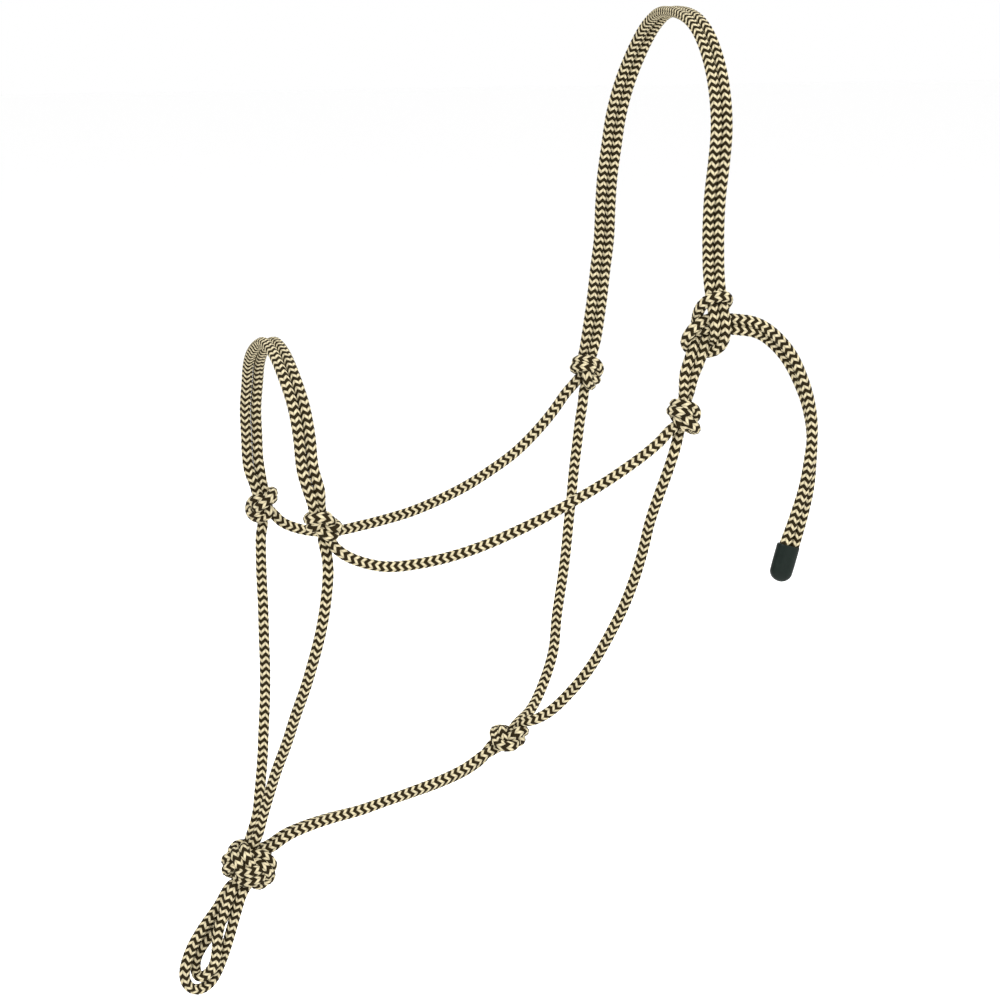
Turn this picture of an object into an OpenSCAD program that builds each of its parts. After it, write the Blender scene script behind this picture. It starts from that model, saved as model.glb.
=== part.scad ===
// Rope halter, tied from one long braided cord with fixed knots.
// +X runs from the nose to the poll, -Y is the horse's left (near) side, +Z is up.
// The origin is the underside of the crown at its top, where it sits on the poll.

/* [Rope] */
// Diameter of the braided rope
rope_d = 6.3; // [5.8:0.1:6.4]
// Clear space between two ropes that run side by side
strand_gap = 0.2; // [0.1:0.1:0.6]
// Number of flat sides on each plain rope
rope_sides = 8; // [8:2:12]

/* [Knots] */
// Largest radius of the cheek, nose and throat knots
small_knot_r = 10.6; // [9.5:0.1:10.8]
// Largest radius of the fiador knot at the bottom
fiador_knot_r = 15.5; // [14:0.1:15.7]
// Half width of the sheet bend that ties the crown
tie_knot_r = 13; // [12:0.5:14]
// Thickness of the sheet bend, near side to inside
tie_knot_depth = 21; // [19:1:24]

/* [Tail end] */
// Width of the end cap across both rope ends
cap_w = 13.6; // [13.2:0.1:15]
// Thickness of the end cap
cap_t = 8.4; // [7.5:0.1:9.5]
// Length of the end cap
cap_l = 21.5; // [16:0.5:26]

/* [Hidden] */

$fn = 48;
X = [1, 0, 0];
Y = [0, 1, 0];
Z = [0, 0, 1];
rope_r = rope_d / 2;
pair_half = (rope_d + strand_gap) / 2;
rope_color = [0.56, 0.50, 0.35];
cap_color = [0.11, 0.15, 0.12];

// Knot centres. The hinge lines run through the two cheek knots and the two nose knots.
cheek_near_at = [-26, -86, -221];
cheek_off_at = [-23, 86, -216];
nose_near_at = [-232, -64, -276];
nose_off_at = [-235, 64, -284];
throat_at = [-102, 0, -422];
fiador_at = [-260, 0, -486];
tie_at = [-11, -90, -169];
// The tail leaves the sheet bend over a round shoulder, which is also its hinge.
tail_hinge_at = [4, -92, -168];
tail_shoulder_r = 6.5;

// Routes of the rope, point by point. Pairs give the line midway between the two strands.
crown_route = [[-22, 86, -208], [-19, 87, -191], [-16, 88, -173], [-14, 88, -155], [-12, 87, -136],
               [-12, 85, -117], [-11.5, 83, -98], [-10, 80, -79], [-8.5, 76, -60], [-5.5, 70, -41],
               [-2, 61, -24], [1, 49, -9.5], [2, 34, -1], [1, 17, 2.6], [0, 0, 3.2],
               [-1, -17, 2.6], [-1, -34, -1], [0, -48, -9.5], [1, -60, -24], [1, -69, -41],
               [0, -75, -60], [-3, -79, -79], [-6, -81, -98], [-8, -84, -117], [-9, -87, -136],
               [-10, -89, -153]];
noseband_route = [[-237, 65, -271], [-239, 66, -259], [-240, 64, -244], [-242, 58, -227],
                  [-243, 49, -211], [-245, 36, -197], [-246, 19, -187], [-245, 0, -181],
                  [-244.5, -21, -185], [-243.5, -39, -196], [-241.5, -52, -211], [-240.5, -60, -227.5],
                  [-240, -64, -244], [-237, -66, -256], [-235, -65, -264]];
cheek_near_route = [[-230, -67, -281], [-222, -68, -292], [-210, -69, -298], [-196, -71, -301],
                    [-180, -73, -300], [-163, -75, -297], [-145, -77, -292], [-127, -79, -285],
                    [-109, -81, -277], [-91, -82, -268], [-73, -84, -258], [-56, -86, -247],
                    [-45, -87, -239], [-37, -88, -232]];
cheek_off_route = [[-232, 67, -288], [-222, 68, -297], [-207, 69, -303], [-190, 70, -305],
                   [-173, 72, -303], [-155, 74, -300], [-137, 76, -296], [-119, 78, -290],
                   [-102, 80, -283], [-85, 82, -274], [-69, 84, -264], [-54, 86, -251],
                   [-43, 87, -239], [-34, 88, -227]];
chin_near_route = [[-229, -61, -288], [-228, -62, -303], [-229, -60, -321], [-231, -56, -339],
                   [-234, -51, -356], [-237, -44, -373], [-241, -36, -391], [-244, -28, -408],
                   [-248, -20, -425], [-251, -13, -441], [-254, -8, -456], [-256, -6, -466]];
chin_off_route = [[-236, 61, -296], [-236, 61, -311], [-236, 60, -328], [-236, 57, -345],
                  [-237, 52, -362], [-238, 46, -379], [-240, 39, -396], [-243, 31, -413],
                  [-246, 23, -430], [-250, 14, -446], [-253, 8, -458], [-256, 6, -466]];
throat_near_route = [[-29, -85, -236], [-33, -82, -252], [-37, -77, -268], [-40, -71, -284],
                     [-42, -65, -302], [-45, -58, -321], [-49, -50, -339], [-55, -42, -357],
                     [-62, -33, -375], [-71, -24, -391], [-82, -15, -405], [-95, -7, -413]];
throat_off_route = [[-25, 85, -231], [-28, 84, -246], [-31, 81, -261], [-34, 78, -276],
                    [-37, 74, -292], [-41, 68, -309], [-45, 62, -327], [-50, 55, -344],
                    [-56, 46, -361], [-61, 37, -379], [-70, 28, -396], [-82, 17, -410],
                    [-95, 7, -416]];
jaw_route = [[-113, 0, -429], [-127, 0, -438.5], [-143, 0, -445], [-160, 0, -450], [-177, 0, -454.5],
             [-194, 0, -459], [-211, 0, -462], [-227, 0, -466], [-240, 0, -471], [-252, 0, -480]];
tail_route = [[12, -93, -170], [22, -96, -176], [32, -99, -187], [39, -101, -201], [44, -102, -216],
              [46, -103, -232], [45, -103, -248], [43, -103, -263], [39, -103, -278],
              [34, -103, -293], [31, -103, -301]];
tail_tip = [26.5, -103, -316.5];
eye_route = [[-23, -84, -212], [-20, -85, -203], [-17, -85, -194], [-14, -85, -185], [-12, -86, -175],
             [-11, -91, -170], [-12, -96, -175], [-14, -92, -185], [-17, -92, -194],
             [-20, -91, -203], [-23, -90, -212]];

// The lead loop's routes: down the loop, across it and towards the near side, from the fiador.
loop_outer_route = [[17, 1.2, 3.3], [30, 2.7, 3.3], [41.9, 4.4, 2.9], [53.9, 6.4, 0.4], [64, 7.2, -1],
    [71.7, 6.7, -1.5], [77.6, 3.2, -0.9], [80, -2, 0], [78.3, -7.3, 0.6], [72.8, -11.5, 0.9],
    [64, -12.9, -0.1], [53.9, -12.4, -1.4], [41.9, -9.9, -2.7], [30, -6.7, -3.3], [17, -5.4, -3.3]];
loop_inner_route = [[17, -5.5, 3.5], [30, -4.3, 3.6], [42.2, -3.4, 4.2], [53.2, 0.1, 5.3], [61, 2.2, 4.8],
    [66.9, 1.4, 3.9], [70.9, -0.8, 2.3], [72.4, -2.3, -0.1], [70.7, -3.7, -2.8], [66.9, -5.8, -4.4],
    [60.1, -6.5, -5.1], [52.2, -5.1, -5.2], [42.2, -2.5, -4.5], [30, 0.3, -3.9], [17, 1.4, -3.5]];
loop_tilt = 24;

function unit(v) = v / norm(v);
function tangent(path, i) = unit(path[min(i + 1, len(path) - 1)] - path[max(i - 1, 0)]);
function across(t, ref) = unit(ref - (ref * t) * t);

// A strand beside a route: offset by half the pair, turned from angle a0 to a1 along the way.
function beside(path, ref, half, a0 = 0, a1 = 0) = [
    for (i = [0:len(path) - 1])
        let (t = tangent(path, i), s = across(t, ref), b = cross(t, s),
             a = a0 + (a1 - a0) * i / (len(path) - 1))
        path[i] + half * (cos(a) * s + sin(a) * b)];

// Loop points turned about Y and moved to the fiador knot.
function loop_path(route) = [
    for (p = route)
        fiador_at + p[0] * [-sin(loop_tilt), 0, -cos(loop_tilt)]
                  + p[1] * [cos(loop_tilt), 0, -sin(loop_tilt)] - p[2] * Y];

// One closed tube swept along a path.
module rope(path, ref = Y) {
    n = len(path);
    m = rope_sides;
    points = [for (i = [0:n - 1])
        let (t = tangent(path, i), s = across(t, ref), b = cross(t, s))
        for (k = [0:m - 1])
            path[i] + rope_r * (cos(360 * k / m) * s + sin(360 * k / m) * b)];
    start_cap = [for (k = [0:m - 1]) k];
    end_cap = [for (k = [m - 1:-1:0]) (n - 1) * m + k];
    walls = [for (i = [0:n - 2], k = [0:m - 1])
        let (j = (k + 1) % m)
        [i * m + k, (i + 1) * m + k, (i + 1) * m + j, i * m + j]];
    color(rope_color) polyhedron(points, concat([start_cap], walls, [end_cap]), convexity = 6);
}

// A knot as rounds of rope stacked on a core, the widest rounds in the middle.
module rounds(ring_radii, pitch) {
    last = len(ring_radii) - 1;
    overlap = 0.05;
    for (i = [0:last])
        translate([0, 0, (i - last / 2) * pitch]) rotate_extrude() {
            translate([ring_radii[i], 0]) circle(rope_r);
            translate([0, -pitch / 2 - overlap]) square([ring_radii[i], pitch + 2 * overlap]);
        }
}

module small_knot(at, lean) {
    wide = small_knot_r - rope_r;
    narrow = wide * 0.72;
    color(rope_color) translate(at) rotate([0, lean, 0]) rounds([narrow, wide, narrow], rope_r * 1.65);
}

module crown_strand_front() { rope(beside(crown_route, X, -pair_half), X); }
module crown_strand_rear() { rope(beside(crown_route, X, pair_half), X); }

module tie_knot() {
    wide = tie_knot_r - rope_r;
    color(rope_color) {
        intersection() {
            translate(tie_at) rounds([wide * 0.65, wide * 0.9, wide, wide, wide * 0.95, wide * 0.7], 6);
            translate(tie_at) cube([4 * tie_knot_r, tie_knot_depth, 6 * tie_knot_r], center = true);
        }
        translate(tail_hinge_at) sphere(tail_shoulder_r);
    }
}

module eye_loop() { rope(eye_route, X); }

module cheek_knot_near() { small_knot(cheek_near_at, 18); }
module cheek_knot_off() { small_knot(cheek_off_at, 10); }
module cheek_rope_near() { rope(cheek_near_route); }
module cheek_rope_off() { rope(cheek_off_route); }
module nose_knot_near() { small_knot(nose_near_at, -12); }
module nose_knot_off() { small_knot(nose_off_at, 0); }

module noseband_strand_front() { rope(beside(noseband_route, X, -pair_half), X); }
module noseband_strand_rear() { rope(beside(noseband_route, X, pair_half), X); }

module chin_rope_near() { rope(chin_near_route); }
module chin_rope_off() { rope(chin_off_route); }

module throat_rope_near() { rope(throat_near_route, X); }
module throat_rope_off() { rope(throat_off_route, X); }
module throat_knot() { small_knot(throat_at, 60); }

module jaw_strand_near() { rope(beside(jaw_route, Y, -pair_half, 35, 0)); }
module jaw_strand_off() { rope(beside(jaw_route, Y, pair_half, 35, 0)); }

module fiador_knot() {
    wide = fiador_knot_r - rope_r - 0.4;
    color(rope_color) translate(fiador_at) rotate([0, loop_tilt, 0])
        rounds([wide * 0.62, wide, wide, wide * 0.62], rope_r * 2);
}

module lead_loop_outer() { rope(loop_path(loop_outer_route)); }
module lead_loop_inner() { rope(loop_path(loop_inner_route)); }

// The tail's strands turn half a turn about each other on the way down.
module tail_strand_front() { rope(beside(tail_route, Y, -pair_half, 130, 270)); }
module tail_strand_rear() { rope(beside(tail_route, Y, pair_half, 130, 270)); }

// A flat sleeve with round sides, closed by a rounded end.
module tail_end_cap() {
    fall = tail_tip - tail_route[len(tail_route) - 1];
    lean = atan2(fall[0], -fall[2]);
    flat = (cap_w - cap_t) / 2;
    color(cap_color) translate(tail_tip) rotate([0, -lean, 0])
        hull() for (side = [-1, 1]) translate([side * flat, 0, 0]) {
            translate([0, 0, cap_t / 2]) cylinder(d = cap_t, h = cap_l - cap_t / 2, $fn = 32);
            translate([0, 0, cap_t / 2]) sphere(d = cap_t, $fn = 32);
        }
}

crown_strand_front();
crown_strand_rear();
tie_knot();
eye_loop();
cheek_knot_near();
cheek_knot_off();
cheek_rope_near();
cheek_rope_off();
nose_knot_near();
nose_knot_off();
noseband_strand_front();
noseband_strand_rear();
chin_rope_near();
chin_rope_off();
throat_rope_near();
throat_rope_off();
throat_knot();
jaw_strand_near();
jaw_strand_off();
fiador_knot();
lead_loop_outer();
lead_loop_inner();
tail_strand_front();
tail_strand_rear();
tail_end_cap();
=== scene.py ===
"""Looks of a rope halter: one braided cord knotted into a headstall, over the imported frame."""

import bmesh
import bpy
import numpy as np
from bpy.props import FloatProperty, FloatVectorProperty, IntProperty, PointerProperty
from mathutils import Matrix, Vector


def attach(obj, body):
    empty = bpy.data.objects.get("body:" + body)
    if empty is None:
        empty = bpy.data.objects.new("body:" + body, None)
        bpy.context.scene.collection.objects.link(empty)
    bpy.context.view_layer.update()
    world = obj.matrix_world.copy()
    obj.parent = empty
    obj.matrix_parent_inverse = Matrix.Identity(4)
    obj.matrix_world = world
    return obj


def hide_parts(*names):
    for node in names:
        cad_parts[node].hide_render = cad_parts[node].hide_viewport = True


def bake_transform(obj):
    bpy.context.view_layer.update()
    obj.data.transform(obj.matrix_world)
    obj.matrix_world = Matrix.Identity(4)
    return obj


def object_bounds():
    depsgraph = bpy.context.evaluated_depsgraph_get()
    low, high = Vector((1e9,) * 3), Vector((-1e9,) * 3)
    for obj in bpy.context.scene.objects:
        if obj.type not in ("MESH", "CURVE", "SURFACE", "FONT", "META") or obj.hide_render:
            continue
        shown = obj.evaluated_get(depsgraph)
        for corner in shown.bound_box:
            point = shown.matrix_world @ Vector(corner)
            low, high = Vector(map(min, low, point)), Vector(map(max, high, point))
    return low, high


bl_info = {
    "name": "Rope Halter",
    "version": (1, 0, 0),
    "blender": (4, 5, 0),
    "location": "View3D > Sidebar > Halter",
    "description": "Builds a knotted rope halter of braided cord, with its stage",
    "category": "Add Mesh",
}

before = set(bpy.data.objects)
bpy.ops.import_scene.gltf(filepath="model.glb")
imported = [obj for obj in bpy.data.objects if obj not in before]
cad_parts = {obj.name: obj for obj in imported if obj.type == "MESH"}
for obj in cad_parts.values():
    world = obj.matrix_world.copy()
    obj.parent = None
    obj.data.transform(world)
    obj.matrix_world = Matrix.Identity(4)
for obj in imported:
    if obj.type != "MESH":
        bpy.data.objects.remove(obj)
CAD_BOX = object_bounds()

MM = 0.001
X, Y, Z = np.eye(3)

# == The cord's route
# Points in metres, the same as the part's own: X runs from the nose back to the poll,
# -Y is the horse's near side, Z is up, and the origin is under the top of the crown.

ROUTES = {
    "crown": [
        (-0.022, 0.086, -0.208), (-0.019, 0.087, -0.191), (-0.016, 0.088, -0.173), (-0.014, 0.088, -0.155),
        (-0.012, 0.087, -0.136), (-0.012, 0.085, -0.117), (-0.0115, 0.083, -0.098), (-0.01, 0.08, -0.079),
        (-0.0085, 0.076, -0.06), (-0.0055, 0.07, -0.041), (-0.002, 0.061, -0.024), (0.001, 0.049, -0.0095),
        (0.002, 0.034, -0.001), (0.001, 0.017, 0.0026), (0, 0, 0.0032), (-0.001, -0.017, 0.0026),
        (-0.001, -0.034, -0.001), (0, -0.048, -0.0095), (0.001, -0.06, -0.024), (0.001, -0.069, -0.041),
        (0, -0.075, -0.06), (-0.003, -0.079, -0.079), (-0.006, -0.081, -0.098), (-0.008, -0.084, -0.117),
        (-0.009, -0.087, -0.136), (-0.01, -0.089, -0.153),
    ],
    "noseband": [
        (-0.237, 0.065, -0.271), (-0.239, 0.066, -0.259), (-0.24, 0.064, -0.244), (-0.242, 0.058, -0.227),
        (-0.243, 0.049, -0.211), (-0.245, 0.036, -0.197), (-0.246, 0.019, -0.187), (-0.245, 0, -0.181),
        (-0.2445, -0.021, -0.185), (-0.2435, -0.039, -0.196), (-0.2415, -0.052, -0.211), (-0.2405, -0.06, -0.2275),
        (-0.24, -0.064, -0.244), (-0.237, -0.066, -0.256), (-0.235, -0.065, -0.264),
    ],
    "cheek_rope_near": [
        (-0.23, -0.067, -0.281), (-0.222, -0.068, -0.292), (-0.21, -0.069, -0.298), (-0.196, -0.071, -0.301),
        (-0.18, -0.073, -0.3), (-0.163, -0.075, -0.297), (-0.145, -0.077, -0.292), (-0.127, -0.079, -0.285),
        (-0.109, -0.081, -0.277), (-0.091, -0.082, -0.268), (-0.073, -0.084, -0.258), (-0.056, -0.086, -0.247),
        (-0.045, -0.087, -0.239), (-0.037, -0.088, -0.232),
    ],
    "cheek_rope_off": [
        (-0.232, 0.067, -0.288), (-0.222, 0.068, -0.297), (-0.207, 0.069, -0.303), (-0.19, 0.07, -0.305),
        (-0.173, 0.072, -0.303), (-0.155, 0.074, -0.3), (-0.137, 0.076, -0.296), (-0.119, 0.078, -0.29),
        (-0.102, 0.08, -0.283), (-0.085, 0.082, -0.274), (-0.069, 0.084, -0.264), (-0.054, 0.086, -0.251),
        (-0.043, 0.087, -0.239), (-0.034, 0.088, -0.227),
    ],
    "chin_rope_near": [
        (-0.229, -0.061, -0.288), (-0.228, -0.062, -0.303), (-0.229, -0.06, -0.321), (-0.231, -0.056, -0.339),
        (-0.234, -0.051, -0.356), (-0.237, -0.044, -0.373), (-0.241, -0.036, -0.391), (-0.244, -0.028, -0.408),
        (-0.248, -0.02, -0.425), (-0.251, -0.013, -0.441), (-0.254, -0.008, -0.456), (-0.256, -0.006, -0.466),
    ],
    "chin_rope_off": [
        (-0.236, 0.061, -0.296), (-0.236, 0.061, -0.311), (-0.236, 0.06, -0.328), (-0.236, 0.057, -0.345),
        (-0.237, 0.052, -0.362), (-0.238, 0.046, -0.379), (-0.24, 0.039, -0.396), (-0.243, 0.031, -0.413),
        (-0.246, 0.023, -0.43), (-0.25, 0.014, -0.446), (-0.253, 0.008, -0.458), (-0.256, 0.006, -0.466),
    ],
    "throat_rope_near": [
        (-0.029, -0.085, -0.236), (-0.033, -0.082, -0.252), (-0.037, -0.077, -0.268), (-0.04, -0.071, -0.284),
        (-0.042, -0.065, -0.302), (-0.045, -0.058, -0.321), (-0.049, -0.05, -0.339), (-0.055, -0.042, -0.357),
        (-0.062, -0.033, -0.375), (-0.071, -0.024, -0.391), (-0.082, -0.015, -0.405), (-0.095, -0.007, -0.413),
    ],
    "throat_rope_off": [
        (-0.025, 0.085, -0.231), (-0.028, 0.084, -0.246), (-0.031, 0.081, -0.261), (-0.034, 0.078, -0.276),
        (-0.037, 0.074, -0.292), (-0.041, 0.068, -0.309), (-0.045, 0.062, -0.327), (-0.05, 0.055, -0.344),
        (-0.056, 0.046, -0.361), (-0.061, 0.037, -0.379), (-0.07, 0.028, -0.396), (-0.082, 0.017, -0.41),
        (-0.095, 0.007, -0.416),
    ],
    "jaw": [
        (-0.113, 0, -0.429), (-0.127, 0, -0.4385), (-0.143, 0, -0.445), (-0.16, 0, -0.45), (-0.177, 0, -0.4545),
        (-0.194, 0, -0.459), (-0.211, 0, -0.462), (-0.227, 0, -0.466), (-0.24, 0, -0.471), (-0.252, 0, -0.48),
    ],
    "tail": [
        (0.012, -0.093, -0.17), (0.022, -0.096, -0.176), (0.032, -0.099, -0.187), (0.039, -0.101, -0.201),
        (0.044, -0.102, -0.216), (0.046, -0.103, -0.232), (0.045, -0.103, -0.248), (0.043, -0.103, -0.263),
        (0.039, -0.103, -0.278), (0.034, -0.103, -0.293), (0.031, -0.103, -0.301),
    ],
    # The lead loop's own directions: down, across, and towards the near side, from the fiador knot.
    "lead_loop_outer": [
        (0.017, 0.0012, 0.0033), (0.03, 0.0027, 0.0033), (0.0419, 0.0044, 0.0029), (0.0539, 0.0064, 0.0004),
        (0.064, 0.0072, -0.001), (0.0717, 0.0067, -0.0015), (0.0776, 0.0032, -0.0009), (0.08, -0.002, 0),
        (0.0783, -0.0073, 0.0006), (0.0728, -0.0115, 0.0009), (0.064, -0.0129, -0.0001), (0.0539, -0.0124, -0.0014),
        (0.0419, -0.0099, -0.0027), (0.03, -0.0067, -0.0033), (0.017, -0.0054, -0.0033),
    ],
    "lead_loop_inner": [
        (0.017, -0.0055, 0.0035), (0.03, -0.0043, 0.0036), (0.0422, -0.0034, 0.0042), (0.0532, 0.0001, 0.0053),
        (0.061, 0.0022, 0.0048), (0.0669, 0.0014, 0.0039), (0.0709, -0.0008, 0.0023), (0.0724, -0.0023, -0.0001),
        (0.0707, -0.0037, -0.0028), (0.0669, -0.0058, -0.0044), (0.0601, -0.0065, -0.0051),
        (0.0522, -0.0051, -0.0052), (0.0422, -0.0025, -0.0045), (0.03, 0.0003, -0.0039), (0.017, 0.0014, -0.0035),
    ],
}

# Where each knot sits, in metres.
KNOTS = {
    "tie_knot": (-0.011, -0.09, -0.169),
    "cheek_knot_near": (-0.026, -0.086, -0.221),
    "cheek_knot_off": (-0.023, 0.086, -0.216),
    "nose_knot_near": (-0.232, -0.064, -0.276),
    "nose_knot_off": (-0.235, 0.064, -0.284),
    "throat_knot": (-0.102, 0, -0.422),
    "fiador_knot": (-0.26, 0, -0.486),
}
# Each small knot's hand, and how far it is turned about its cords, in degrees.
KNOT_TURNS = {
    "cheek_knot_near": (1, -90),
    "cheek_knot_off": (1, -90),
    "nose_knot_near": (1, -90),
    "nose_knot_off": (-1, 90),
    "throat_knot": (-1, 90),
}
# How much a small knot is flattened along its cords.
KNOT_FLATS = {"cheek_knot_near": 0.2, "cheek_knot_off": 0.16, "nose_knot_off": 0.2}
LOOP_TILT = np.radians(24)
TAIL_TIP = (0.0265, -0.103, -0.3165)

# How far from a knot's centre its own cord ends, and where the open route takes over.
TIE_KNOT_REACH = 21 * MM
SMALL_KNOT_REACH = 13 * MM
ROUTE_START = {"tie_knot": 36 * MM, "fiador_knot": 17 * MM}
SMALL_ROUTE_START = 19 * MM

# Spacing of a finished cord's rings, and of the points of a loosely drawn one.
STEP = 0.6 * MM
LOOSE_STEP = 4.4 * MM
# How far each cord of a loosely drawn pair lies from the line between them.
LOOSE_OFFSET = 3.4 * MM
# How far from a knot's centre its cords are held while it is pulled tight.
OVERHAND_HOLD = 80 * MM
BEND_HOLD = 78 * MM
# The share of their drawn length that the tie knot's two crown cords and its eye keep,
# and the small move that sets the tightened knot in place.
BEND_LEFT = (0.7, 0.7, 0.885)
BEND_SHIFT = np.array([-2.2, 0, -2.4]) * MM
# A tightening knot is squeezed together within this reach, less and less over its outer part.
SQUEEZE_REACH = 34 * MM
SQUEEZE_FADE = 10 * MM
# How far from its centre a flattened knot is pushed flat; the effect fades out beyond.
FLATTEN_REACH = 14 * MM
# The fiador knot's ball: middle radius, how far crossings stand above and below it, and height per width.
BALL_RADIUS = 9.6 * MM
BALL_WAVE = 2.4 * MM
BALL_HEIGHT = 0.64
# How far the floor lies below the halter at rest, so that it hangs clear at every pose.
FLOOR_DROP = 0.15


# == Sizes and colours

class HalterSizes(bpy.types.PropertyGroup):
    """Sizes of the cord, its braid, its knots and the end cap."""

    rope: FloatProperty(name="Rope", description="Diameter of the braided cord", default=6.3 * MM, unit="LENGTH")
    strand_gap: FloatProperty(
        name="Strand gap", description="Clear gap between two cords that run side by side",
        default=0.2 * MM, unit="LENGTH")
    relief: FloatProperty(
        name="Stitch relief", description="How far each braided stitch stands out", default=0.35 * MM, unit="LENGTH")
    stitch: FloatProperty(
        name="Stitch", description="Length of one row of stitches along the cord", default=2.15 * MM, unit="LENGTH")
    slant: FloatProperty(name="Slant", description="Rows that a band climbs across one column", default=0.95)
    columns: IntProperty(
        name="Columns", description="Columns of stitches round the cord, an even number", default=8, min=4, max=24)
    knot_press: FloatProperty(
        name="Knot press", description="Distance between the middles of two cords pressed together in a knot",
        default=5.0 * MM, unit="LENGTH")
    bend_press: FloatProperty(
        name="Tie knot press", description="The same distance in the looser tie knot", default=6.0 * MM, unit="LENGTH")
    cap_width: FloatProperty(
        name="Cap width", description="Width of the end cap across both cords", default=13.6 * MM, unit="LENGTH")
    cap_depth: FloatProperty(name="Cap depth", description="Depth of the end cap", default=8.4 * MM, unit="LENGTH")
    cap_length: FloatProperty(
        name="Cap length", description="Length of the end cap", default=21.5 * MM, unit="LENGTH")


class HalterColours(bpy.types.PropertyGroup):
    """Colours of the yarns, the cap and the floor."""

    cream: FloatVectorProperty(
        name="Cream yarn", description="Colour of the light yarn", subtype="COLOR", size=3, default=(0.53, 0.46, 0.295))
    dark: FloatVectorProperty(
        name="Dark yarn", description="Colour of the dark yarn", subtype="COLOR", size=3, default=(0.018, 0.012, 0.003))
    cap: FloatVectorProperty(
        name="End cap", description="Colour of the rubber end cap", subtype="COLOR", size=3,
        default=(0.004, 0.008, 0.006))
    floor: FloatVectorProperty(
        name="Floor", description="Colour of the floor", subtype="COLOR", size=3, default=(0.99, 0.99, 0.99))


def sizes():
    return bpy.context.scene.halter_sizes


def colours():
    return bpy.context.scene.halter_colours


# == Lines in space

def unit(v):
    v = np.asarray(v, float)
    return v / np.linalg.norm(v)


def lengths_along(line):
    return np.concatenate([[0], np.cumsum(np.linalg.norm(np.diff(line, axis=0), axis=1))])


def resample(line, step):
    """The line with points evenly spaced along it."""
    s = lengths_along(line)
    t = np.linspace(0, s[-1], max(int(round(s[-1] / step)), 2) + 1)
    return np.stack([np.interp(t, s, line[:, k]) for k in range(3)], axis=1)


def smooth_line(points, step):
    """A smooth line through hand-set points."""
    p = np.asarray(points, float)
    q = np.vstack([2 * p[0] - p[1], p, 2 * p[-1] - p[-2]])
    t = np.linspace(0, 1, 16, endpoint=False)[:, None]
    line = []
    for a, b, c, d in zip(q[:-3], q[1:-2], q[2:-1], q[3:]):
        line.append(0.5 * (2 * b + (c - a) * t + (2 * a - 5 * b + 4 * c - d) * t ** 2
                           + (3 * b - a - 3 * c + d) * t ** 3))
    return resample(np.vstack(line + [p[-1:]]), step)


def tangents(line):
    t = np.gradient(line, axis=0)
    return t / np.linalg.norm(t, axis=1, keepdims=True)


def beside(points, ref, half, turn_start=0.0, turn_end=0.0):
    """The route of one of two cords that run side by side, the pair turning from one angle to the other."""
    p = np.asarray(points, float)
    t = tangents(p)
    s = ref - (t @ ref)[:, None] * t
    s /= np.linalg.norm(s, axis=1, keepdims=True)
    a = np.radians(np.linspace(turn_start, turn_end, len(p)))[:, None]
    return p + half * (np.cos(a) * s + np.sin(a) * np.cross(t, s))


def doubled(line, half, face):
    """Two lines side by side, in the plane that faces along face."""
    s = np.cross(tangents(line), face)
    s /= np.maximum(np.linalg.norm(s, axis=1, keepdims=True), 1e-6)
    return line + half * s, line - half * s


def bridge(p0, t0, p1, t1, step):
    """A smooth join between two line ends, without its end points."""
    gap = np.linalg.norm(p1 - p0)
    n = max(int(round(gap / step)), 2)
    t = np.linspace(0, 1, n + 1)[1:-1, None]
    return ((2 * t ** 3 - 3 * t ** 2 + 1) * p0 + (t ** 3 - 2 * t ** 2 + t) * gap * t0
            + (3 * t ** 2 - 2 * t ** 3) * p1 + (t ** 3 - t ** 2) * gap * t1)


# == Tying the knots

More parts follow.
